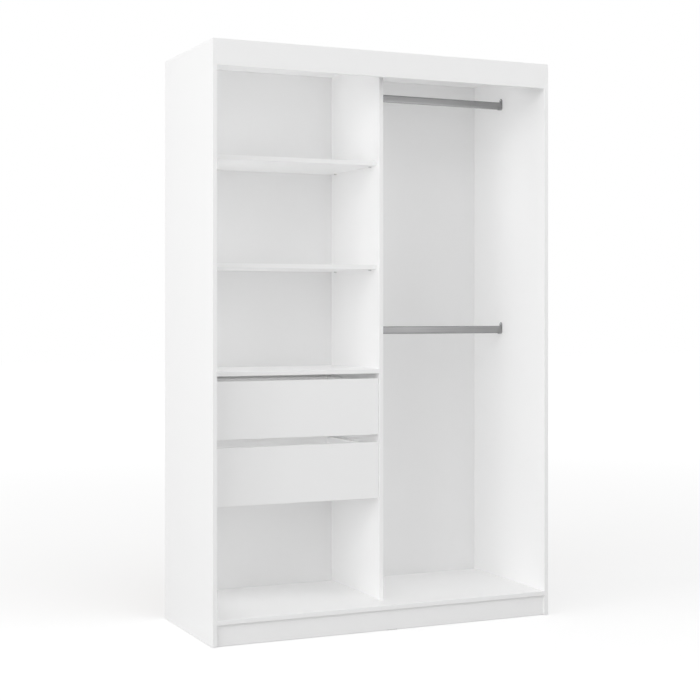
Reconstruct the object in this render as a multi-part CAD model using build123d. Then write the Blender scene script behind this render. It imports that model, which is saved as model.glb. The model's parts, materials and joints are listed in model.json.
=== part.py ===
from build123d import *
import os

os.makedirs("parts", exist_ok=True)

# A free-standing wardrobe of white board: shelves and two drawers left of a divider,
# two hanging rails right of it. Millimetres, +X right, +Y to the back, +Z up,
# origin on the floor under the middle of the wardrobe.

# Overall size
WIDTH = 1360.0
DEPTH = 600.0
HEIGHT = 2150.0

# Boards
BOARD = 16.0
BACK_SHEET = 3.0
BACK_INSET = 2.0
BACK_JOINT = 0.5
EDGE_BREAK = 0.5

# Carcase layout
LEFT_BAY = 676.0
DOOR_ZONE = 117.0
FLOOR_TOP = 95.0
FASCIA_HEIGHT = 94.0
PLINTH_SETBACK = 12.0
REAR_PLINTH_SETBACK = 40.0

# Floor glides
GLIDE_HEIGHT = 3.0
GLIDE_LENGTH = 40.0
GLIDE_WIDTH = 13.0
GLIDE_INSET = 20.0

# Shelves
SHELF_SETBACK = 30.0
SHELF_SIDE_GAP = 0.5
DRAWER_SHELF_TOP = 968.0
LOOSE_SHELVES = ("middle_shelf", "upper_shelf")

# Shelf pins
PIN_RADIUS = 2.5
PIN_IN_PANEL = 9.0
PIN_SEAT_LENGTH = 9.0
PIN_SEAT_WIDTH = 7.0
PIN_SEAT_HEIGHT = 4.0
PIN_INSET = 50.0

# Hanging rails
RAIL_HEIGHT = 30.0
RAIL_WIDTH = 15.0
RAIL_WALL = 1.2
UPPER_RAIL_DROP = 106.0
LOWER_RAIL_ABOVE_FLOOR = 1017.0

# Rail end brackets
BRACKET_PLATE = 2.5
BRACKET_CUP_WALL = 2.0
BRACKET_CUP_DEPTH = 12.0
BRACKET_SCREW_MARGIN = 2.5
BRACKET_FIT = 0.3
BRACKET_SCREW_DROP = 5.0

# Double top track for two sliding doors
TRACK_WIDTH = 85.0
TRACK_HEIGHT = 38.0
TRACK_WALL = 1.8
TRACK_SLOT = 14.0
TRACK_END_GAP = 1.0
TRACK_SCREWS = 3
TRACK_SCREW_INSET = 120.0

# Drawers
DRAWER_FRONT_HEIGHT = 212.0
DRAWER_SETBACK = 8.0
DRAWER_SIDE_GAP = 1.5
TOP_FINGER_GAP = 19.0
FINGER_GAP = 29.0
BOX_LIFT = 12.0
BOX_DROP = 10.0
BOX_REAR_GAP = 11.0
BOX_DOWEL_LIFT = 44.0
GROOVE_OVER_SCREWS = 2.0
GROOVE_DEPTH = 8.0
GROOVE_FIT = 0.2

# Roller runners
RUNNER_FRONT_GAP = 2.0
RUNNER_REAR_GAP = 9.0
RUNNER_OVERLAP = 100.0
STEEL = 1.2
BEND_RADIUS = 0.8
TRACK_FLANGE_GAP = 0.7
LIP_FLANGE = 6.5
RIDING_FLANGE_STANDOFF = 3.0
FOOT_FLANGE_INSET = 2.5
FOOT_CLEARANCE = 3.0
FLANGE_CLEARANCE = 0.8
ROLLER_RADIUS = 10.0
ROLLER_WIDTH = 6.0
ROLLER_RIM_BREAK = 0.6
ROLLER_DISH_DEPTH = 1.2
ROLLER_DISH_INNER = 4.6
ROLLER_DISH_OUTER = 8.0
ROLLER_PLAY = 0.3
ROLLER_END_PLAY = 0.2
SCREW_HEAD_CLEARANCE = 0.5
AXLE_RADIUS = 2.5
AXLE_FIT = 0.06
AXLE_BOSS_RADIUS = 4.0
AXLE_BOSS = 1.0
AXLE_HEAD = 0.6
FRONT_ROLLER_INSET = 14.0
STOP_TAB = 5.0
STOP_PLAY = 1.0
REAR_STOP_PLAY = 0.5
RUNNER_SCREWS = 2
RUNNER_SCREW_INSET = 60.0
FOOT_SCREW_INSET = 40.0

# Screws with a low round head
SCREW_RADIUS = 1.75
SCREW_LENGTH = 14.0
SCREW_HEAD_RADIUS = 3.5
SCREW_HEAD = 1.6

# Cam fittings
CAM_RADIUS = 7.4
CAM_DEPTH = 12.5
CAM_RECESS = 0.3
CAM_OFFSET = 34.0
CAM_SLOT_WIDTH = 1.6
CAM_SLOT_DEPTH = 1.5
BOLT_RADIUS = 3.4
BOLT_THREAD_RADIUS = 2.4
BOLT_THREAD = 11.0
CAM_INSET = 70.0
FASCIA_CAMS = 2
FASCIA_CAM_INSET = 250.0

# Dowels
DOWEL_RADIUS = 4.0
DOWEL_IN_PANEL = 9.0
DOWEL_IN_BOARD = 22.0
DOWEL_INSET = 22.0
DIVIDER_DOWEL_INSET = 60.0
PLINTH_DOWEL_INSET = 200.0

# Room left round a fastener in its hole
HOLE_FIT = 0.1

# Faces that the pieces share
x_left = -WIDTH / 2 + BOARD
x_divider = x_left + LEFT_BAY
x_divider_right = x_divider + BOARD
x_right = WIDTH / 2 - BOARD
y_front = -DEPTH / 2
y_rear = DEPTH / 2 - BACK_SHEET
y_divider = y_front + DOOR_ZONE
y_shelf = y_divider + SHELF_SETBACK
y_rail = (y_divider + y_rear) / 2
z_floor_under = FLOOR_TOP - BOARD
z_ceiling = HEIGHT - BOARD

X = Vector(1, 0, 0)
Y = Vector(0, 1, 0)
Z = Vector(0, 0, 1)

pieces = {}
groups = {}


def block(x, y, z):
    """A block between a low and a high value on each axis."""
    solid = Box(x[1] - x[0], y[1] - y[0], z[1] - z[0], align=(Align.MIN, Align.MIN, Align.MIN))
    return Pos(x[0], y[0], z[0]) * solid


def eased(board):
    """Breaks the edges round the front face of a board, where its edge band is trimmed."""
    return chamfer(board.faces().sort_by(Axis.Y)[0].edges(), EDGE_BREAK)


def rod(start, direction, radius, length):
    """A round bar that starts at a point and runs along a direction."""
    bar = Cylinder(radius, length, align=(Align.CENTER, Align.CENTER, Align.MIN))
    return Plane(origin=start, z_dir=direction) * bar


def bent_steel(x, inward, z, corners, y):
    """Sheet steel along Y, bent at the corners of a line of distances from a wall and heights."""
    line = FilletPolyline(*corners, radius=BEND_RADIUS + STEEL)
    section = make_face(offset(line, amount=STEEL, side=Side.RIGHT))
    plane = Plane(origin=(x, y[0], z), x_dir=inward, z_dir=inward.cross(Z))
    return extrude(plane * section, amount=y[1] - y[0], dir=Y)


def cut(nodes, tool):
    """Takes one tool out of several pieces."""
    for node in nodes:
        pieces[node] = pieces[node] - tool


def add_to_group(group, solid):
    groups.setdefault(group, []).append(solid)


def dowel_joint(group, panel, board, point, direction):
    """A dowel from a panel's face, at a point, into the end of a board."""
    start = Vector(*point) - direction * DOWEL_IN_PANEL
    length = DOWEL_IN_PANEL + DOWEL_IN_BOARD
    cut((panel, board), rod(start, direction, DOWEL_RADIUS + HOLE_FIT, length))
    add_to_group(group, rod(start, direction, DOWEL_RADIUS, length))


def cam_joint(panel, board, point, direction, drilled_side):
    """A bolt in a panel's face and the cam that draws the end of a board against it."""
    face_point = Vector(*point)
    thread_start = face_point - direction * BOLT_THREAD
    cam_centre = face_point + direction * CAM_OFFSET
    cam_base = cam_centre + drilled_side * (BOARD / 2 - CAM_DEPTH)
    bolt = rod(thread_start, direction, BOLT_THREAD_RADIUS, BOLT_THREAD)
    bolt += rod(face_point, direction, BOLT_RADIUS, CAM_OFFSET)
    add_to_group("cam_bolts", bolt)
    bore = rod(face_point, direction, BOLT_RADIUS + HOLE_FIT, CAM_OFFSET)
    cut((panel,), rod(thread_start, direction, BOLT_THREAD_RADIUS + HOLE_FIT, BOLT_THREAD))
    cut((board,), bore)
    cut((board,), rod(cam_base, drilled_side, CAM_RADIUS + HOLE_FIT, CAM_DEPTH))
    cam = rod(cam_base, drilled_side, CAM_RADIUS, CAM_DEPTH - CAM_RECESS) - bore
    slot = Box(2 * CAM_RADIUS, CAM_SLOT_WIDTH, 2 * CAM_SLOT_DEPTH)
    cam -= Plane(origin=cam_base + drilled_side * (CAM_DEPTH - CAM_RECESS), z_dir=drilled_side) * slot
    add_to_group("cam_locks", cam)


def screw(group, nodes, seat, direction):
    """A screw whose head sits at a point and whose shank runs through the named pieces."""
    head = rod(Vector(*seat) - direction * SCREW_HEAD, direction, SCREW_HEAD_RADIUS, SCREW_HEAD)
    shank = rod(seat, direction, SCREW_RADIUS, SCREW_LENGTH)
    cut(nodes, rod(seat, direction, SCREW_RADIUS + HOLE_FIT, SCREW_LENGTH))
    add_to_group(group, head + shank)


def spread(low, high, inset, count):
    """Evenly spaced places between two ends, the outer ones an inset away from them."""
    first = low + inset
    last = high - inset
    step = (last - first) / (count - 1)
    return [first + step * number for number in range(count)]


def carcase_boards():
    """Side panels, top, floor, divider, fascia and plinths."""
    deep = (y_front, y_rear)
    tall = (GLIDE_HEIGHT, HEIGHT)
    between = (x_left, x_right)
    pieces["left_side_panel"] = eased(block((-WIDTH / 2, x_left), deep, tall))
    pieces["right_side_panel"] = eased(block((x_right, WIDTH / 2), deep, tall))
    pieces["top_panel"] = block(between, (y_front + BOARD, y_rear), (z_ceiling, HEIGHT))
    pieces["floor_panel"] = eased(block(between, deep, (z_floor_under, FLOOR_TOP)))
    upright = block((x_divider, x_divider_right), (y_divider, y_rear), (FLOOR_TOP, z_ceiling))
    pieces["centre_divider"] = eased(upright)
    fascia = block(between, (y_front, y_front + BOARD), (HEIGHT - FASCIA_HEIGHT, HEIGHT))
    pieces["top_fascia"] = eased(fascia)
    plinth_height = (GLIDE_HEIGHT, z_floor_under)
    front = y_front + PLINTH_SETBACK
    pieces["front_plinth"] = block(between, (front, front + BOARD), plinth_height)
    rear = y_rear - REAR_PLINTH_SETBACK
    pieces["rear_plinth"] = block(between, (rear - BOARD, rear), plinth_height)


def back_sheets():
    """Two thin sheets on the rear edges, meeting behind the divider."""
    depth = (y_rear, y_rear + BACK_SHEET)
    height = (z_floor_under, HEIGHT - BACK_INSET)
    middle = (x_divider + x_divider_right) / 2
    left = (-WIDTH / 2 + BACK_INSET, middle - BACK_JOINT / 2)
    right = (middle + BACK_JOINT / 2, WIDTH / 2 - BACK_INSET)
    pieces["left_back_panel"] = block(left, depth, height)
    pieces["right_back_panel"] = block(right, depth, height)


def floor_glides():
    """Glides under the ends of the side panels and under the middle of both plinths."""
    small, large = GLIDE_WIDTH / 2, GLIDE_LENGTH / 2
    ends = (y_front + GLIDE_INSET + large, y_rear - GLIDE_INSET - large)
    places = [(side * (WIDTH - BOARD) / 2, end, small, large) for side in (-1, 1) for end in ends]
    front = y_front + PLINTH_SETBACK + BOARD / 2
    rear = y_rear - REAR_PLINTH_SETBACK - BOARD / 2
    divider_middle = (x_divider + x_divider_right) / 2
    places += [(divider_middle, front, large, small), (divider_middle, rear, large, small)]
    for x, y, half_x, half_y in places:
        pad = block((x - half_x, x + half_x), (y - half_y, y + half_y), (0, GLIDE_HEIGHT))
        add_to_group("floor_glides", chamfer(pad.edges().group_by(Axis.Z)[0], EDGE_BREAK))


def carcase_joints():
    """Cams at the ends of the top, floor and fixed shelf, and dowels for the other boards."""
    cam_depths = (y_divider + CAM_INSET, y_rear - CAM_INSET)
    middle_of_top = (z_ceiling + HEIGHT) / 2
    middle_of_floor = FLOOR_TOP - BOARD / 2
    middle_of_shelf = DRAWER_SHELF_TOP - BOARD / 2
    for y in cam_depths:
        for panel, x, way in (("left_side_panel", x_left, X), ("right_side_panel", x_right, -X)):
            cam_joint(panel, "top_panel", (x, y, middle_of_top), way, Z)
            cam_joint(panel, "floor_panel", (x, y, middle_of_floor), way, -Z)
        for panel, x, way in (("left_side_panel", x_left, X), ("centre_divider", x_divider, -X)):
            cam_joint(panel, "drawer_top_shelf", (x, y, middle_of_shelf), way, -Z)
    for x in spread(x_left, x_right, FASCIA_CAM_INSET, FASCIA_CAMS):
        cam_joint("top_fascia", "top_panel", (x, y_front + BOARD, middle_of_top), Y, Z)

    rails = (
        ("top_fascia", y_front + BOARD / 2, (HEIGHT - FASCIA_HEIGHT, HEIGHT)),
        ("front_plinth", y_front + PLINTH_SETBACK + BOARD / 2, (GLIDE_HEIGHT, z_floor_under)),
        ("rear_plinth", y_rear - REAR_PLINTH_SETBACK - BOARD / 2, (GLIDE_HEIGHT, z_floor_under)),
    )
    for board, y, height in rails:
        for z in (height[0] + DOWEL_INSET, height[1] - DOWEL_INSET):
            dowel_joint("dowels", "left_side_panel", board, (x_left, y, z), X)
            dowel_joint("dowels", "right_side_panel", board, (x_right, y, z), -X)
    for board, y, height in rails[1:]:
        for x in (x_left + PLINTH_DOWEL_INSET, x_right - PLINTH_DOWEL_INSET):
            dowel_joint("dowels", "floor_panel", board, (x, y, z_floor_under), -Z)
    for y in (y_divider + DIVIDER_DOWEL_INSET, y_rear - DIVIDER_DOWEL_INSET):
        x = (x_divider + x_divider_right) / 2
        dowel_joint("dowels", "top_panel", "centre_divider", (x, y, z_ceiling), -Z)
        dowel_joint("dowels", "floor_panel", "centre_divider", (x, y, FLOOR_TOP), Z)


def shelves():
    """The fixed shelf over the drawers, and loose shelves that share the space above it."""
    fixed = block((x_left, x_divider), (y_divider, y_rear), (DRAWER_SHELF_TOP - BOARD, DRAWER_SHELF_TOP))
    pieces["drawer_top_shelf"] = eased(fixed)
    count = len(LOOSE_SHELVES)
    clear_height = (z_ceiling - DRAWER_SHELF_TOP - count * BOARD) / (count + 1)
    width = (x_left + SHELF_SIDE_GAP, x_divider - SHELF_SIDE_GAP)
    for number, node in enumerate(LOOSE_SHELVES):
        under = DRAWER_SHELF_TOP + clear_height + number * (clear_height + BOARD)
        pieces[node] = eased(block(width, (y_shelf, y_rear), (under, under + BOARD)))
        for y in (y_shelf + PIN_INSET, y_rear - PIN_INSET):
            shelf_pin("left_side_panel", x_left, X, y, under)
            shelf_pin("centre_divider", x_divider, -X, y, under)


def shelf_pin(panel, x, inward, y, under):
    """A pin in a panel with a flat seat that the shelf lies on."""
    start = Vector(x, y, under - PIN_RADIUS) - inward * PIN_IN_PANEL
    cut((panel,), rod(start, inward, PIN_RADIUS + HOLE_FIT, PIN_IN_PANEL))
    reach = sorted((x, x + inward.X * PIN_SEAT_LENGTH))
    width = (y - PIN_SEAT_WIDTH / 2, y + PIN_SEAT_WIDTH / 2)
    seat = block(reach, width, (under - PIN_SEAT_HEIGHT, under))
    add_to_group("shelf_pins", rod(start, inward, PIN_RADIUS, PIN_IN_PANEL) + seat)


def hanging_rail(name, z):
    """An oval tube across the right bay with a cup bracket on the wall at each end."""
    plane = Plane(origin=(x_divider_right + BRACKET_PLATE, y_rail, z), x_dir=Z, z_dir=X)
    length = x_right - x_divider_right - 2 * BRACKET_PLATE
    oval = SlotOverall(RAIL_HEIGHT, RAIL_WIDTH)
    bore = SlotOverall(RAIL_HEIGHT - 2 * RAIL_WALL, RAIL_WIDTH - 2 * RAIL_WALL)
    pieces[f"{name}_hanging_rail"] = extrude(plane * (oval - bore), amount=length)
    rail_bracket(f"{name}_rail_left_bracket", "centre_divider", x_divider_right, X, z)
    rail_bracket(f"{name}_rail_right_bracket", "right_side_panel", x_right, -X, z)


def rail_bracket(node, wall, x, inward, z):
    """A wall plate with a tab above the rail and an open-topped cup that the rail lies in."""
    plane = Plane(origin=(x, y_rail, z), x_dir=Z, z_dir=inward)
    cup_height = RAIL_HEIGHT + 2 * (BRACKET_CUP_WALL + BRACKET_FIT)
    cup_width = RAIL_WIDTH + 2 * (BRACKET_CUP_WALL + BRACKET_FIT)
    tab = 2 * (SCREW_HEAD_RADIUS + BRACKET_SCREW_MARGIN)
    outline = Pos(tab / 2, 0) * SlotOverall(cup_height + tab, cup_width)
    bracket = extrude(plane * outline, amount=BRACKET_PLATE)
    socket = SlotOverall(RAIL_HEIGHT + 2 * BRACKET_FIT, RAIL_WIDTH + 2 * BRACKET_FIT)
    ring = SlotOverall(cup_height, cup_width) - socket
    ring -= Pos(cup_height / 2, 0) * Rectangle(cup_height, 2 * cup_width)
    bracket += extrude(plane.offset(BRACKET_PLATE) * ring, amount=BRACKET_CUP_DEPTH)
    pieces[node] = bracket
    tab_screw = z + cup_height / 2 + tab / 2
    for height in (tab_screw, z - BRACKET_SCREW_DROP):
        seat = Vector(x, y_rail, height) + inward * BRACKET_PLATE
        screw("rail_bracket_screws", (node, wall), seat, -inward)


def door_track():
    """A double C section under the top panel that two doors would hang in."""
    middle = (y_front + BOARD + y_divider) / 2
    under = z_ceiling - TRACK_HEIGHT
    section = Rectangle(TRACK_WIDTH, TRACK_HEIGHT)
    channel_width = (TRACK_WIDTH - 3 * TRACK_WALL) / 2
    channel_middles = [side * (channel_width + TRACK_WALL) / 2 for side in (-1, 1)]
    for offset in channel_middles:
        section -= Pos(offset, 0) * Rectangle(channel_width, TRACK_HEIGHT - 2 * TRACK_WALL)
        section -= Pos(offset, -TRACK_HEIGHT / 2) * Rectangle(TRACK_SLOT, 2 * TRACK_WALL)
    start = x_left + TRACK_END_GAP
    plane = Plane(origin=(start, middle, under + TRACK_HEIGHT / 2), x_dir=Y, z_dir=X)
    length = x_right - x_left - 2 * TRACK_END_GAP
    pieces["door_top_track"] = extrude(plane * section, amount=length)
    for offset in channel_middles:
        for x in spread(x_left, x_right, TRACK_SCREW_INSET, TRACK_SCREWS):
            seat = (x, middle + offset, z_ceiling - TRACK_WALL)
            screw("track_screws", ("door_top_track", "top_panel"), seat, Z)


# Widths of a runner's parts, counted from the cabinet wall
roller_room = ROLLER_WIDTH + 2 * ROLLER_END_PLAY
runner_web = STEEL + SCREW_HEAD + SCREW_HEAD_CLEARANCE + AXLE_HEAD + roller_room + AXLE_BOSS
runner_gap = runner_web + STEEL
track_flange = runner_web - TRACK_FLANGE_GAP
foot_flange = runner_gap + BOARD - FOOT_FLANGE_INSET

# Heights of a runner's parts over the underside of its cabinet channel
rear_axle_height = STEEL + ROLLER_PLAY + ROLLER_RADIUS
lip_height = rear_axle_height + ROLLER_RADIUS + ROLLER_PLAY
channel_height = lip_height + STEEL
riding_height = channel_height + FLANGE_CLEARANCE
front_axle_height = riding_height - ROLLER_PLAY - ROLLER_RADIUS
box_height_over_channel = FOOT_CLEARANCE + STEEL
channel_lift = BOX_LIFT - box_height_over_channel

# Depths of the drawer pieces when shut
y_drawer = y_divider + DRAWER_SETBACK
y_box = y_drawer + BOARD
y_box_rear = y_rear - BOX_REAR_GAP
y_channel = y_box + RUNNER_FRONT_GAP
y_channel_rear = y_rear - RUNNER_REAR_GAP
y_front_axle = y_channel + FRONT_ROLLER_INSET
y_rear_axle = y_channel_rear - STEEL - REAR_STOP_PLAY - ROLLER_RADIUS
drawer_travel = y_channel_rear - y_channel - RUNNER_OVERLAP


def roller(x, inward, y, z, near):
    """A roller with broken rims and a dished side, its nearer face a distance from the cabinet wall."""
    outline = (
        (near, AXLE_RADIUS + AXLE_FIT),
        (near, ROLLER_RADIUS - ROLLER_RIM_BREAK),
        (near + ROLLER_RIM_BREAK, ROLLER_RADIUS),
        (near + ROLLER_WIDTH - ROLLER_RIM_BREAK, ROLLER_RADIUS),
        (near + ROLLER_WIDTH, ROLLER_RADIUS - ROLLER_RIM_BREAK),
        (near + ROLLER_WIDTH, ROLLER_DISH_OUTER),
        (near + ROLLER_WIDTH - ROLLER_DISH_DEPTH, ROLLER_DISH_OUTER),
        (near + ROLLER_WIDTH - ROLLER_DISH_DEPTH, ROLLER_DISH_INNER),
        (near + ROLLER_WIDTH, ROLLER_DISH_INNER),
        (near + ROLLER_WIDTH, AXLE_RADIUS + AXLE_FIT),
    )
    face = make_face(Polyline(*outline, close=True))
    wheel = revolve(face, axis=Axis.X)
    return Plane(origin=(x, y, z), x_dir=inward) * wheel


def axle(base, outward):
    """A riveted axle: a boss on the steel, the pin through the roller and its head."""
    pin = rod(base, outward, AXLE_BOSS_RADIUS, AXLE_BOSS)
    pin += rod(base, outward, AXLE_RADIUS, AXLE_BOSS + roller_room)
    pin += rod(base + outward * (AXLE_BOSS + roller_room), outward, AXLE_BOSS_RADIUS, AXLE_HEAD)
    return pin


def cabinet_runner(drawer, side, wall, x, inward, z):
    """The channel on the cabinet wall, with its front roller, end stops and screws."""
    def at(distance):
        return x + inward.X * distance

    node = f"{drawer}_drawer_{side}_cabinet_runner"
    corners = (
        (track_flange, 0),
        (0, 0),
        (0, channel_height),
        (LIP_FLANGE, channel_height),
    )
    channel = bent_steel(x, inward, z, corners, (y_channel, y_channel_rear))
    lip_width = sorted((at(STEEL), at(track_flange)))
    roller_end = y_front_axle + FRONT_ROLLER_INSET
    channel -= block(lip_width, (y_channel, roller_end), (z + lip_height, z + channel_height))
    tab_width = sorted((at(STEEL), at(LIP_FLANGE)))
    contact_height = lip_height - STOP_TAB - rear_axle_height
    reach = (ROLLER_RADIUS ** 2 - contact_height ** 2) ** 0.5
    tab_rear = y_rear_axle - drawer_travel - reach - STOP_PLAY
    tab_height = (z + lip_height - STOP_TAB, z + lip_height)
    channel += block(tab_width, (tab_rear - STEEL, tab_rear), tab_height)
    channel += block(tab_width, (y_channel_rear - STEEL, y_channel_rear), (z + STEEL, z + lip_height))
    front_axle_z = z + front_axle_height
    channel += axle(Vector(at(STEEL), y_front_axle, front_axle_z), inward)
    pieces[node] = channel
    near = STEEL + AXLE_BOSS + ROLLER_END_PLAY
    wheel = roller(x, inward, y_front_axle, front_axle_z, near)
    pieces[f"{drawer}_drawer_{side}_front_roller"] = wheel
    for y in spread(y_channel, y_channel_rear, RUNNER_SCREW_INSET, RUNNER_SCREWS):
        seat = (at(STEEL), y, z + rear_axle_height)
        screw("cabinet_runner_screws", (node, wall), seat, -inward)


def drawer_runner(drawer, side, x, inward, z):
    """The section under a drawer's side that rides on the front roller, with its rear roller."""
    def at(distance):
        return x + inward.X * distance

    node = f"{drawer}_drawer_{side}_runner"
    corners = (
        (RIDING_FLANGE_STANDOFF, riding_height + STEEL),
        (runner_gap, riding_height + STEEL),
        (runner_gap, box_height_over_channel),
        (foot_flange, box_height_over_channel),
    )
    rear_end = y_rear_axle + ROLLER_RADIUS
    section = bent_steel(x, inward, z, corners, (y_box, rear_end))
    rear_axle_z = z + rear_axle_height
    section += axle(Vector(at(runner_web), y_rear_axle, rear_axle_z), -inward)
    pieces[node] = section
    near = runner_web - AXLE_BOSS - ROLLER_END_PLAY - ROLLER_WIDTH
    wheel = roller(x, inward, y_rear_axle, rear_axle_z, near)
    pieces[f"{drawer}_drawer_{side}_rear_roller"] = wheel
    board = f"{drawer}_drawer_{side}_side"
    for y in (y_box + FOOT_SCREW_INSET, rear_end - FOOT_SCREW_INSET):
        seat = (at(runner_gap + BOARD / 2), y, z + FOOT_CLEARANCE)
        screw(f"{drawer}_drawer_runner_screws", (node, board), seat, Z)


def drawer_box(drawer, z_front):
    """Front, sides, back and a bottom sheet held in a groove all round."""
    z_box = z_front + BOX_LIFT
    box_height = (z_box, z_front + DRAWER_FRONT_HEIGHT - BOX_DROP)
    outer = (x_left + runner_gap, x_divider - runner_gap)
    inner = (outer[0] + BOARD, outer[1] - BOARD)
    back_depth = (y_box_rear - BOARD, y_box_rear)
    front_width = (x_left + DRAWER_SIDE_GAP, x_divider - DRAWER_SIDE_GAP)
    front = block(front_width, (y_drawer, y_box), (z_front, z_front + DRAWER_FRONT_HEIGHT))
    name = f"{drawer}_drawer"
    pieces[f"{name}_front"] = eased(front)
    for side, width, outer_end in (("left", (outer[0], inner[0]), 0), ("right", (inner[1], outer[1]), -1)):
        board = block(width, (y_box, y_box_rear), box_height)
        lower_edges = board.edges().filter_by(Axis.Y).group_by(Axis.Z)[0].sort_by(Axis.X)
        pieces[f"{name}_{side}_side"] = chamfer(lower_edges[outer_end], BEND_RADIUS + STEEL)
    pieces[f"{name}_back"] = block(inner, back_depth, box_height)
    sheet_under = z_box + SCREW_LENGTH - STEEL + GROOVE_OVER_SCREWS
    groove_width = (inner[0] - GROOVE_DEPTH, inner[1] + GROOVE_DEPTH)
    groove_depth = (y_box - GROOVE_DEPTH, back_depth[0] + GROOVE_DEPTH)
    groove_height = (sheet_under, sheet_under + BACK_SHEET + GROOVE_FIT)
    groove = block(groove_width, groove_depth, groove_height)
    cut([f"{name}_{board}" for board in ("front", "left_side", "right_side", "back")], groove)
    sheet_width = (groove_width[0] + GROOVE_FIT, groove_width[1] - GROOVE_FIT)
    sheet_depth = (groove_depth[0] + GROOVE_FIT, groove_depth[1] - GROOVE_FIT)
    pieces[f"{name}_bottom"] = block(sheet_width, sheet_depth, (sheet_under, sheet_under + BACK_SHEET))
    for z in (box_height[0] + BOX_DOWEL_LIFT, box_height[1] - DOWEL_INSET):
        for side, middle, face, way in (
            ("left_side", outer[0] + BOARD / 2, inner[0], X),
            ("right_side", outer[1] - BOARD / 2, inner[1], -X),
        ):
            board = f"{name}_{side}"
            dowel_joint(f"{name}_dowels", f"{name}_front", board, (middle, y_box, z), Y)
            back_point = (face, y_box_rear - BOARD / 2, z)
            dowel_joint(f"{name}_dowels", board, f"{name}_back", back_point, way)


def drawer(name, z_front):
    """One drawer with its runners on both sides."""
    drawer_box(name, z_front)
    z_channel = z_front + channel_lift
    for side, wall, x, inward in (
        ("left", "left_side_panel", x_left, X),
        ("right", "centre_divider", x_divider, -X),
    ):
        cabinet_runner(name, side, wall, x, inward, z_channel)
        drawer_runner(name, side, x, inward, z_channel)


carcase_boards()
back_sheets()
floor_glides()
shelves()
carcase_joints()
hanging_rail("upper", z_ceiling - UPPER_RAIL_DROP)
hanging_rail("lower", FLOOR_TOP + LOWER_RAIL_ABOVE_FLOOR)
door_track()
upper_front = DRAWER_SHELF_TOP - BOARD - TOP_FINGER_GAP - DRAWER_FRONT_HEIGHT
drawer("upper", upper_front)
drawer("lower", upper_front - FINGER_GAP - DRAWER_FRONT_HEIGHT)

for node, solid in pieces.items():
    export_step(solid, f"parts/{node}.step")
for node, solids in groups.items():
    export_step(Compound(children=solids), f"parts/{node}.step")
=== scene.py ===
import json
import math

import bmesh
import bpy
from mathutils import Matrix, Vector

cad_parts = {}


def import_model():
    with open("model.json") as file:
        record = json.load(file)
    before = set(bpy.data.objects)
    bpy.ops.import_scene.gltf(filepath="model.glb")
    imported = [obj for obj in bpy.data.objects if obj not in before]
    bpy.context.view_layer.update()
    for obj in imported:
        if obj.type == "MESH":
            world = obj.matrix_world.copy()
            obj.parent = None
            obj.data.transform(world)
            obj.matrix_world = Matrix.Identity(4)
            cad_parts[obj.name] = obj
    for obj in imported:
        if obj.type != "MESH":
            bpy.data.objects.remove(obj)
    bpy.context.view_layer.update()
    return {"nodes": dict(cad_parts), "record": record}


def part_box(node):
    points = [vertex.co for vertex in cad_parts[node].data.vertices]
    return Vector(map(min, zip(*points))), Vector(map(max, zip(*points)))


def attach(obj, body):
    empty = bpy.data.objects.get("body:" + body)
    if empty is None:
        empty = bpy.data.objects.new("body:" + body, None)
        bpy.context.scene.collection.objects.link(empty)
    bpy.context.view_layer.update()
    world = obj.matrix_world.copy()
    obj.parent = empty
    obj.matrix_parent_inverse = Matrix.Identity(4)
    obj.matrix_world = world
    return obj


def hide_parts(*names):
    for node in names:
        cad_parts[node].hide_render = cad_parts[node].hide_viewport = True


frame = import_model()

# Camera, in metres and degrees, with its focal length and optical centre in pixels
PICTURE_SIDE = 700
SENSOR_WIDTH = 36.0
CAMERA_PLACE = (-2.38088, -5.60222, 1.18966)
CAMERA_TILT = 90.0
CAMERA_TURN = -26.343
FOCAL_PIXELS = 1564.873
CENTRE_PIXEL = (448.20, 310.537)

# World, bounces and floor, in metres and shares of full white
WORLD_FILL = 0.5
DIFFUSE_BOUNCES = 32
MAX_BOUNCES = 36
FLOOR_SIDE = 60.0
FLOOR_WHITE = 0.6
FLOOR_LIFT_NEAR = 0.5
FLOOR_LIFT_FAR = 0.705
FLOOR_FADE = 8.0

# Studio lamps: degrees round the object, degrees above the level, metres away, and watts
SOFT_BOXES = {
    "front_left": (-50.0, 15.0, 8.0, 117.0),
    "left": (-81.0, 15.0, 8.0, 170.0),
    "front_right": (45.0, 15.0, 8.0, 95.0),
    "high": (-10.0, 45.0, 6.0, 34.0),
}
SOFT_BOX_SIZE = (5.0, 4.0)
SOFT_BOX_AIM = Vector((0.0, 0.0, 1.1))

# Ways that the weak lamps inside the object shine
ACROSS = Vector((1.0, 0.0, 0.0))
INWARD = Vector((0.0, 1.0, 0.0))
UP = Vector((0.0, 0.0, 1.0))
DOWN = Vector((0.0, 0.0, -1.0))

# Lamps on the shelves, by the left wall and under the drawers, in metres and watts
SHELF_FILLS = {"upper_shelf": 0.31, "middle_shelf": 0.07, "drawer_top_shelf": 0.065}
SHELF_FILL_SIZE = (0.4, 0.25)
SHELF_FILL_LIFT = 0.016
SHELF_FILL_Y = 0.0
WALL_FILLS = {
    ("middle_shelf", "upper_shelf"): 0.135,
    ("drawer_top_shelf", "middle_shelf"): 0.12,
    ("floor_panel", "lower_drawer_front"): 0.1,
}
WALL_FILL_SIZE = (0.3, 0.15)
WALL_FILL_GAP = 0.064
WALL_FILL_Y = -0.05
SHOE_FILL_WATTS = 0.12
SHOE_FILL_DROP = 0.01

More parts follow.
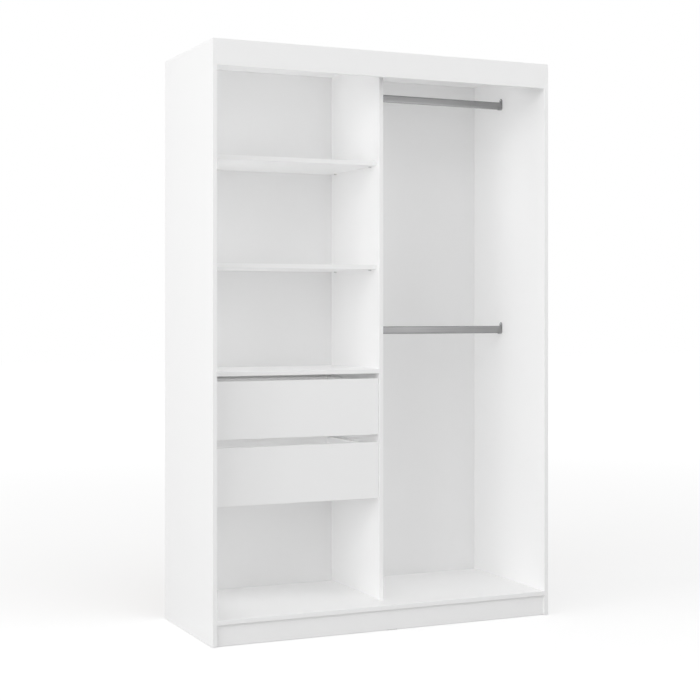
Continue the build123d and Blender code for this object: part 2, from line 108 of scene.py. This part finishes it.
# Lamps in the drawers, and above each front, in metres and watts
DRAWER_FILLS = {"upper_drawer": 0.075, "lower_drawer": 0.13}
DRAWER_FILL_SIZE = (0.5, 0.05)
DRAWER_FILL_LIFT = 0.067
DRAWER_FILL_GAP = 0.167
FINGER_GAP_FILLS = {"upper_drawer": 0.013, "lower_drawer": 0.034}
FINGER_GAP_FILL_SIZE = (0.3, 0.02)
FINGER_GAP_FILL_LIFT = 0.008
FINGER_GAP_FILL_GAP = 0.112
FINGER_GAP_FILL_Y = 0.05

# Lamps in the hanging bay, in metres and watts
BAY_FILL_SIZE = (0.3, 0.5)
BAY_FILL_WATTS = 0.17
BAY_FILL_DROP = 0.213
BAY_FILL_Y = -0.2
BAY_WALL_FILL_SIZE = (0.3, 1.7)
BAY_WALL_FILL_WATTS = 0.28
BAY_WALL_FILL_GAP = 0.072
RAIL_FILL_SIZE = (0.5, 0.2)
RAIL_FILL_WATTS = 0.05
RAIL_FILL_DROP = 0.033

# Materials: the usual range of noise, the boards' gloss, and how far a front or a rear faces along Y
NOISE_LOW = 0.3
NOISE_HIGH = 0.7
BOARD_SPECULAR = 0.45
FRONT_FACING = -0.9
REAR_FACING = 0.5

# Points of a solid that are closer than this are one point, in metres
SAME_POINT = 1e-6

# Nails that hold the back sheets, in metres, with shares of the head's height and radius
NAIL_PITCH = 0.12
NAIL_INSET = 0.006
NAIL_HEAD_RADIUS = 0.0018
NAIL_HEAD_HEIGHT = 0.0005
NAIL_RIM_SHARE = 0.6
NAIL_TOP_SHARE = 0.8

# Screws: shares of the head's radius and height, and the tip's length in shank radii
SCREW_SIDES = 28
SCREW_PROFILE = ((1.0, 0.0), (1.0, 0.35), (0.95, 0.7), (0.84, 0.92), (0.72, 1.0))
TIP_LENGTH = 2.0
HEAD_SHARE = 0.9
CROSS_REACH = 0.5
CROSS_HALF_WIDTH = 0.11
CROSS_DEPTH = 0.75
CROSS_TAPER = 0.55


def add(tree, kind, inputs=None, **settings):
    """Adds a shader node, sets its properties, and sets or links its inputs."""
    made = tree.nodes.new(kind)
    for key, value in settings.items():
        setattr(made, key, value)
    for key, value in (inputs or {}).items():
        if isinstance(value, bpy.types.NodeSocket):
            tree.links.new(value, made.inputs[key])
        else:
            made.inputs[key].default_value = value
    return made


def new_tree(name):
    """An empty node material and its tree."""
    material = bpy.data.materials.new(name)
    material.use_nodes = True
    material.node_tree.nodes.clear()
    return material, material.node_tree


def surface(tree, inputs):
    """The shader of a material, joined to its output."""
    shader = add(tree, "ShaderNodeBsdfPrincipled", inputs)
    add(tree, "ShaderNodeOutputMaterial", {"Surface": shader.outputs["BSDF"]})


def noise(tree, per_metre, stretch=(1.0, 1.0, 1.0), detail=2.0):
    """Noise with about so many blotches to the metre, drawn out where the stretch is below one."""
    place = add(tree, "ShaderNodeTexCoord")
    scaled = add(tree, "ShaderNodeMapping", {"Vector": place.outputs["Object"], "Scale": stretch})
    texture = add(
        tree,
        "ShaderNodeTexNoise",
        {"Vector": scaled.outputs["Vector"], "Scale": per_metre, "Detail": detail},
    )
    return texture.outputs["Fac"]


def between(tree, value, low, high, start=NOISE_LOW, end=NOISE_HIGH):
    """Spreads a value that runs from start to end over a range of numbers."""
    spread = add(
        tree,
        "ShaderNodeMapRange",
        {"Value": value, "From Min": start, "From Max": end, "To Min": low, "To Max": high},
    )
    return spread.outputs["Result"]


def tones(tree, value, low, high):
    """Colours from low to high over the usual range of noise."""
    ramp = add(tree, "ShaderNodeValToRGB", {"Fac": value})
    first, last = ramp.color_ramp.elements
    first.position = NOISE_LOW
    first.color = (*low, 1.0)
    last.position = NOISE_HIGH
    last.color = (*high, 1.0)
    return ramp.outputs["Color"]


def grey(level):
    """A colour without a tint."""
    return (level, level, level)


def blend_colours(tree, share, first, second):
    """The first colour where the share is 0 and the second where it is 1."""
    mixed = add(tree, "ShaderNodeMixRGB", {"Fac": share, "Color1": first, "Color2": second})
    return mixed.outputs["Color"]


def bumps(tree, height, metres, strength=1.0, under=None):
    """A bumpy normal of a given depth, over another one if there is one."""
    inputs = {"Height": height, "Distance": metres, "Strength": strength}
    if under is not None:
        inputs["Normal"] = under
    return add(tree, "ShaderNodeBump", inputs).outputs["Normal"]


def facing(tree, axis):
    """How far a surface faces along an axis, from minus one to one."""
    normal = add(tree, "ShaderNodeNewGeometry").outputs["Normal"]
    return add(tree, "ShaderNodeSeparateXYZ", {"Vector": normal}).outputs[axis]


def calculate(tree, operation, first, second=0.0):
    """One step of arithmetic on the surface."""
    step = add(tree, "ShaderNodeMath", {0: first, 1: second}, operation=operation)
    return step.outputs["Value"]


def melamine():
    """White satin melamine, pebbled, and smoother where it faces the front."""
    material, tree = new_tree("white_melamine")
    clouds = noise(tree, per_metre=2.3, detail=3.0)
    colour = tones(tree, clouds, low=grey(0.976), high=grey(0.984))
    pebble = noise(tree, per_metre=1300.0, detail=1.0)
    waves = noise(tree, per_metre=2.0, detail=1.0)
    normal = bumps(tree, waves, metres=0.0008, strength=0.5)
    front = calculate(tree, "LESS_THAN", facing(tree, "Y"), FRONT_FACING)
    pebble_depth = calculate(tree, "MULTIPLY", pebble, calculate(tree, "SUBTRACT", 1.0, front))
    normal = bumps(tree, pebble_depth, metres=0.00006, strength=0.6, under=normal)
    rough = between(tree, noise(tree, per_metre=45.0), low=0.37, high=0.45)
    front_gloss = between(tree, front, low=0.0, high=0.05, start=0.0, end=1.0)
    rough = calculate(tree, "SUBTRACT", rough, front_gloss)
    looks = {"Base Color": colour, "Roughness": rough, "Normal": normal}
    surface(tree, {**looks, "Specular IOR Level": BOARD_SPECULAR})
    return material


def hardboard():
    """Thin fibreboard, lacquered white on its front and bare brown fibre on its rear; the front's
    white is set greyer than the boards' as painted shade of the deep bays.
    """
    material, tree = new_tree("lacquered_hardboard")
    clouds = noise(tree, per_metre=3.1, detail=3.0)
    # Painted shade: the lacquered front is set greyer than the boards' white so the backs of the
    # deep bays read darker.
    white = tones(tree, clouds, low=grey(0.889), high=grey(0.901))
    fibres = noise(tree, per_metre=260.0, detail=5.0)
    brown = tones(tree, fibres, low=(0.20, 0.118, 0.060), high=(0.345, 0.215, 0.118))
    patches = noise(tree, per_metre=9.0, detail=4.0)
    blotches = tones(tree, patches, low=(0.24, 0.145, 0.075), high=(0.31, 0.192, 0.105))
    brown = blend_colours(tree, share=0.45, first=brown, second=blotches)
    bare = calculate(tree, "GREATER_THAN", facing(tree, "Y"), REAR_FACING)
    colour = blend_colours(tree, share=bare, first=white, second=brown)
    ripple = bumps(tree, noise(tree, per_metre=7.0), metres=0.0006, strength=0.4)
    normal = bumps(tree, fibres, metres=0.00008, strength=0.5, under=ripple)
    lacquer_rough = between(tree, noise(tree, per_metre=60.0), low=0.34, high=0.42)
    bare_rough = between(tree, bare, low=0.0, high=0.3, start=0.0, end=1.0)
    rough = calculate(tree, "ADD", lacquer_rough, bare_rough)
    looks = {"Base Color": colour, "Roughness": rough, "Normal": normal}
    surface(tree, {**looks, "Specular IOR Level": BOARD_SPECULAR})
    return material


def satin_steel():
    """Plated oval tube with fine drawing lines along its length."""
    material, tree = new_tree("satin_steel")
    lines = noise(tree, per_metre=900.0, stretch=(0.006, 1.0, 1.0), detail=3.0)
    clouds = noise(tree, per_metre=14.0, stretch=(0.4, 1.0, 1.0), detail=3.0)
    colour = tones(tree, lines, low=(0.33, 0.33, 0.333), high=(0.38, 0.38, 0.383))
    rough = between(tree, clouds, low=0.52, high=0.6)
    normal = bumps(tree, lines, metres=0.00003, strength=0.5)
    surface(tree, {"Base Color": colour, "Metallic": 1.0, "Roughness": rough, "Normal": normal})
    return material


def powder_coat():
    """White epoxy powder coat with a light orange peel."""
    material, tree = new_tree("white_powder_coat")
    clouds = noise(tree, per_metre=6.0, detail=3.0)
    colour = tones(tree, clouds, low=(0.80, 0.80, 0.79), high=(0.85, 0.85, 0.84))
    peel = bumps(tree, noise(tree, per_metre=420.0, detail=1.0), metres=0.0001, strength=0.35)
    rough = between(tree, noise(tree, per_metre=80.0), low=0.36, high=0.48)
    surface(tree, {"Base Color": colour, "Roughness": rough, "Normal": peel})
    return material


def nylon():
    """Milky moulded nylon with faint turning rings round the axle."""
    material, tree = new_tree("roller_nylon")
    place = add(tree, "ShaderNodeTexCoord")
    centred = add(
        tree,
        "ShaderNodeMapping",
        {"Vector": place.outputs["Generated"], "Location": (-0.5, -0.5, -0.5)},
    )
    rings = add(
        tree,
        "ShaderNodeTexWave",
        {"Vector": centred.outputs["Vector"], "Scale": 9.0, "Distortion": 0.3},
        wave_type="RINGS",
        rings_direction="X",
    )
    clouds = noise(tree, per_metre=120.0, detail=3.0)
    colour = tones(tree, clouds, low=(0.76, 0.75, 0.71), high=(0.82, 0.81, 0.77))
    normal = bumps(tree, rings.outputs["Fac"], metres=0.00005, strength=0.5)
    rough = between(tree, noise(tree, per_metre=300.0), low=0.34, high=0.46)
    surface(
        tree,
        {
            "Base Color": colour,
            "Roughness": rough,
            "Normal": normal,
            "Subsurface Weight": 0.15,
            "Subsurface Scale": 0.002,
        },
    )
    return material


def anodised():
    """Natural anodised aluminium with die lines along the section."""
    material, tree = new_tree("anodised_aluminium")
    lines = noise(tree, per_metre=700.0, stretch=(0.004, 1.0, 1.0))
    colour = tones(tree, lines, low=(0.66, 0.665, 0.67), high=(0.76, 0.763, 0.766))
    clouds = noise(tree, per_metre=30.0, stretch=(0.2, 1.0, 1.0))
    rough = between(tree, clouds, low=0.30, high=0.42)
    normal = bumps(tree, lines, metres=0.00004, strength=0.5)
    surface(tree, {"Base Color": colour, "Metallic": 1.0, "Roughness": rough, "Normal": normal})
    return material


def zinc_plate():
    """Bright zinc plate with the slight tints of its passivated skin."""
    material, tree = new_tree("zinc_plate")
    tint = noise(tree, per_metre=130.0, detail=3.0)
    colour = tones(tree, tint, low=(0.60, 0.62, 0.66), high=(0.74, 0.73, 0.68))
    rough = between(tree, noise(tree, per_metre=420.0, detail=3.0), low=0.24, high=0.42)
    normal = bumps(tree, noise(tree, per_metre=1500.0), metres=0.00004, strength=0.4)
    surface(tree, {"Base Color": colour, "Metallic": 1.0, "Roughness": rough, "Normal": normal})
    return material


def beech():
    """Plain beech with dark flecks."""
    material, tree = new_tree("plain_beech")
    flecks = noise(tree, per_metre=420.0, stretch=(0.3, 0.3, 0.3), detail=4.0)
    colour = tones(tree, flecks, low=(0.47, 0.30, 0.16), high=(0.63, 0.45, 0.27))
    normal = bumps(tree, flecks, metres=0.00015, strength=0.5)
    rough = between(tree, flecks, low=0.55, high=0.7)
    surface(tree, {"Base Color": colour, "Roughness": rough, "Normal": normal})
    return material


def glide_plastic():
    """Pale moulded plastic with a fine spark-eroded texture."""
    material, tree = new_tree("glide_plastic")
    clouds = noise(tree, per_metre=90.0, detail=3.0)
    colour = tones(tree, clouds, low=(0.70, 0.70, 0.69), high=(0.77, 0.77, 0.76))
    normal = bumps(tree, noise(tree, per_metre=1600.0, detail=1.0), metres=0.00006, strength=0.5)
    rough = between(tree, noise(tree, per_metre=200.0), low=0.45, high=0.58)
    surface(tree, {"Base Color": colour, "Roughness": rough, "Normal": normal})
    return material


MATERIALS = {
    "white_board": melamine(),
    "white_sheet": hardboard(),
    "rail_steel": satin_steel(),
    "runner_steel": powder_coat(),
    "roller_plastic": nylon(),
    "track_aluminium": anodised(),
    "zinc_fittings": zinc_plate(),
    "dowel_wood": beech(),
    "glide_plastic": glide_plastic(),
}


def paint_nodes():
    """Gives each node of the frame the material of its slot."""
    for row in frame["record"]["subparts"]:
        node = frame["nodes"][row["node"]]
        for slot in node.material_slots:
            slot.material = MATERIALS[row["material_slot"]]


def new_piece(name, mesh, body, slot):
    """Makes an object of a bmesh that rides on a body and wears the material of a slot."""
    data = bpy.data.meshes.new(name)
    bmesh.ops.recalc_face_normals(mesh, faces=mesh.faces)
    mesh.to_mesh(data)
    mesh.free()
    piece = bpy.data.objects.new(name, data)
    bpy.context.scene.collection.objects.link(piece)
    data.materials.append(MATERIALS[slot])
    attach(piece, body)
    return piece


def islands(node):
    """The separate solids of a node, each as a list of its corner points."""
    mesh = bmesh.new()
    mesh.from_mesh(frame["nodes"][node].data)
    bmesh.ops.remove_doubles(mesh, verts=mesh.verts, dist=SAME_POINT)
    found = []
    left = set(mesh.verts)
    while left:
        open_points = [left.pop()]
        solid = []
        while open_points:
            point = open_points.pop()
            solid.append(point.co.copy())
            for edge in point.link_edges:
                other = edge.other_vert(point)
                if other in left:
                    left.remove(other)
                    open_points.append(other)
        found.append(solid)
    mesh.free()
    return found


def ring(mesh, turn, radius, height, count):
    """A ring of points about the Z axis of a placing matrix."""
    points = []
    for number in range(count):
        angle = 2 * math.pi * number / count
        point = Vector((radius * math.cos(angle), radius * math.sin(angle), height))
        points.append(mesh.verts.new(turn @ point))
    return points


def bridge(mesh, lower, upper):
    """Joins two loops of as many points with a band of faces."""
    count = len(lower)
    for number in range(count):
        after = (number + 1) % count
        mesh.faces.new((lower[number], lower[after], upper[after], upper[number]))


def cross_outline(reach, half_width):
    """The corners of a cross, counted round its outline."""
    arm = ((reach, -half_width), (reach, half_width), (half_width, half_width))
    corners = []
    for quarter in range(4):
        turn = Matrix.Rotation(quarter * math.pi / 2, 2)
        corners += [turn @ Vector(point) for point in arm]
    return corners


def screw(mesh, turn, head_radius, head_height, shank_radius, shank_length):
    """A pan-head screw with a cross recess, its head standing on the Z axis of a placing matrix."""
    tip = mesh.verts.new(turn @ Vector((0.0, 0.0, -shank_length)))
    lower = ring(mesh, turn, shank_radius, -shank_length + TIP_LENGTH * shank_radius, SCREW_SIDES)
    for number in range(SCREW_SIDES):
        mesh.faces.new((tip, lower[(number + 1) % SCREW_SIDES], lower[number]))
    upper = ring(mesh, turn, shank_radius, 0.0, SCREW_SIDES)
    bridge(mesh, lower, upper)
    for radius, height in SCREW_PROFILE:
        loop = ring(mesh, turn, radius * head_radius, height * head_height, SCREW_SIDES)
        bridge(mesh, upper, loop)
        upper = loop
    recess = []
    for scale, height in ((1.0, 1.0), (CROSS_TAPER, 1.0 - CROSS_DEPTH)):
        outline = cross_outline(CROSS_REACH * scale, CROSS_HALF_WIDTH * scale)
        points = [Vector((*(corner * head_radius), height * head_height)) for corner in outline]
        recess.append([mesh.verts.new(turn @ point) for point in points])
    bridge(mesh, *recess)
    mesh.faces.new(recess[1])
    edges = []
    for loop in (upper, recess[0]):
        edges += [mesh.edges.get((point, loop[number - 1])) for number, point in enumerate(loop)]
    bmesh.ops.triangle_fill(mesh, edges=edges, use_beauty=True, use_dissolve=False)


def off_axis(point, middle, along):
    """How far a point is from the line through a middle along an axis."""
    away = point - middle
    away[along] = 0.0
    return away.length


def screw_group(node, body):
    """Stands a detailed screw in the place of each solid of a node."""
    mesh = bmesh.new()
    for solid in islands(node):
        low = Vector([min(point[axis] for point in solid) for axis in range(3)])
        high = Vector([max(point[axis] for point in solid) for axis in range(3)])
        size = high - low
        middle = (low + high) / 2
        along = max(range(3), key=lambda axis: size[axis])
        head_radius = max(size[axis] for axis in range(3) if axis != along) / 2
        reaches = [(off_axis(point, middle, along), point[along]) for point in solid]
        head = [place for reach, place in reaches if reach > HEAD_SHARE * head_radius]
        shank_radius = max(reach for reach, place in reaches if reach < HEAD_SHARE * head_radius)
        head_height = max(head) - min(head)
        head_is_low = abs(min(head) - low[along]) < abs(max(head) - high[along])
        way = Vector((0.0, 0.0, 0.0))
        way[along] = -1.0 if head_is_low else 1.0
        seat = middle.copy()
        seat[along] = max(head) if head_is_low else min(head)
        turn = Matrix.Translation(seat) @ way.to_track_quat("Z", "Y").to_matrix().to_4x4()
        screw(mesh, turn, head_radius, head_height, shank_radius, size[along] - head_height)
    piece = new_piece(f"{node}_pan_head", mesh, body, "zinc_fittings")
    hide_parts(node)


def nail_line(start, end):
    """Evenly spaced points from one end of a line to the other."""
    length = (end - start).length
    count = max(2, round(length / NAIL_PITCH) + 1)
    return [start.lerp(end, number / (count - 1)) for number in range(count)]


def back_nails():
    """Flat nail heads round the edges of both back sheets and along the fixed shelf."""
    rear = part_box("left_back_panel")[1].y
    bottom = sum(corner.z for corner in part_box("floor_panel")) / 2
    places = []
    for sheet in ("left_back_panel", "right_back_panel"):
        low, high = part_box(sheet)
        left = low.x + NAIL_INSET
        right = high.x - NAIL_INSET
        top = high.z - NAIL_INSET
        outline = ((left, bottom), (left, top), (right, top), (right, bottom))
        corners = [Vector((x, rear, z)) for x, z in outline]
        for number, corner in enumerate(corners):
            places += nail_line(corner, corners[(number + 1) % len(corners)])[:-1]
    low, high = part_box("drawer_top_shelf")
    shelf_middle = (low.z + high.z) / 2
    first = Vector((low.x + NAIL_PITCH / 2, rear, shelf_middle))
    last = Vector((high.x - NAIL_PITCH / 2, rear, shelf_middle))
    places += nail_line(first, last)
    mesh = bmesh.new()
    outward = INWARD.to_track_quat("Z", "Y").to_matrix().to_4x4()
    for place in places:
        turn = Matrix.Translation(place) @ outward
        foot = ring(mesh, turn, NAIL_HEAD_RADIUS, 0.0, SCREW_SIDES)
        rim = ring(mesh, turn, NAIL_HEAD_RADIUS, NAIL_RIM_SHARE * NAIL_HEAD_HEIGHT, SCREW_SIDES)
        top = ring(mesh, turn, NAIL_TOP_SHARE * NAIL_HEAD_RADIUS, NAIL_HEAD_HEIGHT, SCREW_SIDES)
        mesh.faces.new(list(reversed(foot)))
        bridge(mesh, foot, rim)
        bridge(mesh, rim, top)
        mesh.faces.new(top)
    new_piece("back_nails", mesh, "carcase", "zinc_fittings")


def seen_directly(tree):
    """One for a ray from the camera, a mirror or glass, and zero for one that carries light."""
    path = add(tree, "ShaderNodeLightPath")
    seen = path.outputs["Is Camera Ray"]
    for ray in ("Is Glossy Ray", "Is Transmission Ray"):
        seen = calculate(tree, "MAXIMUM", seen, path.outputs[ray])
    return seen


def floor():
    """A wide white floor that shows the shadow and otherwise goes over into the background."""
    mesh = bmesh.new()
    bmesh.ops.create_grid(mesh, x_segments=1, y_segments=1, size=FLOOR_SIDE / 2)
    data = bpy.data.meshes.new("studio_floor")
    mesh.to_mesh(data)
    mesh.free()
    plane = bpy.data.objects.new("studio_floor", data)
    bpy.context.scene.collection.objects.link(plane)
    material, tree = new_tree("studio_floor")
    matt = add(tree, "ShaderNodeBsdfDiffuse", {"Color": (*grey(FLOOR_WHITE), 1.0)})
    place = add(tree, "ShaderNodeTexCoord").outputs["Object"]
    off = add(tree, "ShaderNodeVectorMath", {0: place}, operation="LENGTH").outputs["Value"]
    lift = between(tree, off, FLOOR_LIFT_NEAR, FLOOR_LIFT_FAR, start=0.0, end=FLOOR_FADE)
    lift = calculate(tree, "MULTIPLY", seen_directly(tree), lift)
    glow = add(tree, "ShaderNodeEmission", {"Strength": lift})
    total = add(tree, "ShaderNodeAddShader", {0: matt.outputs["BSDF"], 1: glow.outputs["Emission"]})
    add(tree, "ShaderNodeOutputMaterial", {"Surface": total.outputs["Shader"]})
    data.materials.append(material)


def world():
    """White to look at and in reflections, and a weaker even light on the object."""
    made = bpy.data.worlds.new("studio")
    bpy.context.scene.world = made
    made.use_nodes = True
    tree = made.node_tree
    tree.nodes.clear()
    strength = between(tree, seen_directly(tree), WORLD_FILL, 1.0, start=0.0, end=1.0)
    sky = add(tree, "ShaderNodeBackground", {"Color": (*grey(1.0), 1.0), "Strength": strength})
    add(tree, "ShaderNodeOutputWorld", {"Surface": sky.outputs["Background"]})


def area_lamp(name, place, way, size, watts):
    """A rectangular lamp that shines one way and isn't seen itself."""
    lamp = bpy.data.lights.new(name, "AREA")
    lamp.shape = "RECTANGLE"
    lamp.size, lamp.size_y = size
    lamp.energy = watts
    holder = bpy.data.objects.new(name, lamp)
    holder.location = place
    holder.visible_camera = False
    holder.rotation_euler = way.to_track_quat("-Z", "Y").to_euler()
    bpy.context.scene.collection.objects.link(holder)


def soft_boxes():
    """The studio lamps round the object, turned to its middle."""
    for name, (turn, lift, distance, watts) in SOFT_BOXES.items():
        turn = math.radians(turn)
        lift = math.radians(lift)
        level = distance * math.cos(lift)
        offset = Vector((level * math.sin(turn), -level * math.cos(turn), distance * math.sin(lift)))
        area_lamp(name, SOFT_BOX_AIM + offset, -offset, SOFT_BOX_SIZE, watts)


def left_bay_fills():
    """Weak lamps that lift the light over the shelves and under the drawers."""
    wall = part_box("left_side_panel")[1].x
    middle = (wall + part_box("centre_divider")[0].x) / 2
    for shelf, watts in SHELF_FILLS.items():
        place = (middle, SHELF_FILL_Y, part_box(shelf)[1].z + SHELF_FILL_LIFT)
        area_lamp(f"{shelf}_fill", place, UP, SHELF_FILL_SIZE, watts)
    for (below, above), watts in WALL_FILLS.items():
        height = (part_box(below)[1].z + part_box(above)[0].z) / 2
        place = (wall + WALL_FILL_GAP, WALL_FILL_Y, height)
        area_lamp(f"{below}_wall_fill", place, ACROSS, WALL_FILL_SIZE, watts)
    place = (middle, WALL_FILL_Y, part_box("lower_drawer_front")[0].z - SHOE_FILL_DROP)
    area_lamp("shoe_fill", place, DOWN, WALL_FILL_SIZE, SHOE_FILL_WATTS)


def drawer_fills():
    """Weak lamps that show the drawers' boards behind the finger gaps."""
    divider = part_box("centre_divider")[0].x
    middle = (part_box("left_side_panel")[1].x + divider) / 2
    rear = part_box("left_back_panel")[0].y
    for drawer, watts in DRAWER_FILLS.items():
        place = (middle, rear - DRAWER_FILL_GAP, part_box(f"{drawer}_back")[0].z + DRAWER_FILL_LIFT)
        area_lamp(f"{drawer}_fill", place, INWARD, DRAWER_FILL_SIZE, watts)
    for drawer, watts in FINGER_GAP_FILLS.items():
        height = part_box(f"{drawer}_front")[1].z + FINGER_GAP_FILL_LIFT
        place = (divider - FINGER_GAP_FILL_GAP, FINGER_GAP_FILL_Y, height)
        area_lamp(f"{drawer}_gap_fill", place, ACROSS, FINGER_GAP_FILL_SIZE, watts)


def hanging_bay_fills():
    """Weak lamps that lift the light in the hanging bay and under its upper rail."""
    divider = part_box("centre_divider")[1].x
    middle = (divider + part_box("right_side_panel")[0].x) / 2
    half_height = (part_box("floor_panel")[1].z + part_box("top_panel")[0].z) / 2
    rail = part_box("upper_hanging_rail")[0].z
    place = (middle, BAY_FILL_Y, rail - BAY_FILL_DROP)
    area_lamp("hanging_bay_fill", place, INWARD, BAY_FILL_SIZE, BAY_FILL_WATTS)
    place = (divider + BAY_WALL_FILL_GAP, WALL_FILL_Y, half_height)
    area_lamp("hanging_bay_wall_fill", place, ACROSS, BAY_WALL_FILL_SIZE, BAY_WALL_FILL_WATTS)
    place = (middle, SHELF_FILL_Y, rail - RAIL_FILL_DROP)
    area_lamp("upper_rail_fill", place, UP, RAIL_FILL_SIZE, RAIL_FILL_WATTS)


def camera():
    """A level camera whose picture is shifted to the photograph's framing."""
    data = bpy.data.cameras.new("camera")
    data.sensor_width = SENSOR_WIDTH
    data.lens = FOCAL_PIXELS / PICTURE_SIDE * SENSOR_WIDTH
    middle = PICTURE_SIDE / 2
    data.shift_x = (middle - CENTRE_PIXEL[0]) / PICTURE_SIDE
    data.shift_y = (CENTRE_PIXEL[1] - middle) / PICTURE_SIDE
    holder = bpy.data.objects.new("camera", data)
    holder.location = CAMERA_PLACE
    holder.rotation_euler = (math.radians(CAMERA_TILT), 0.0, math.radians(CAMERA_TURN))
    bpy.context.scene.collection.objects.link(holder)
    bpy.context.scene.camera = holder


paint_nodes()
for screws in ("rail_bracket_screws", "track_screws", "cabinet_runner_screws"):
    screw_group(screws, "carcase")
for drawer in ("upper_drawer", "lower_drawer"):
    screw_group(f"{drawer}_runner_screws", drawer)
back_nails()
floor()
world()
soft_boxes()
left_bay_fills()
drawer_fills()
hanging_bay_fills()
camera()
bpy.context.scene.view_settings.view_transform = "Standard"
bpy.context.scene.cycles.diffuse_bounces = DIFFUSE_BOUNCES
bpy.context.scene.cycles.max_bounces = MAX_BOUNCES
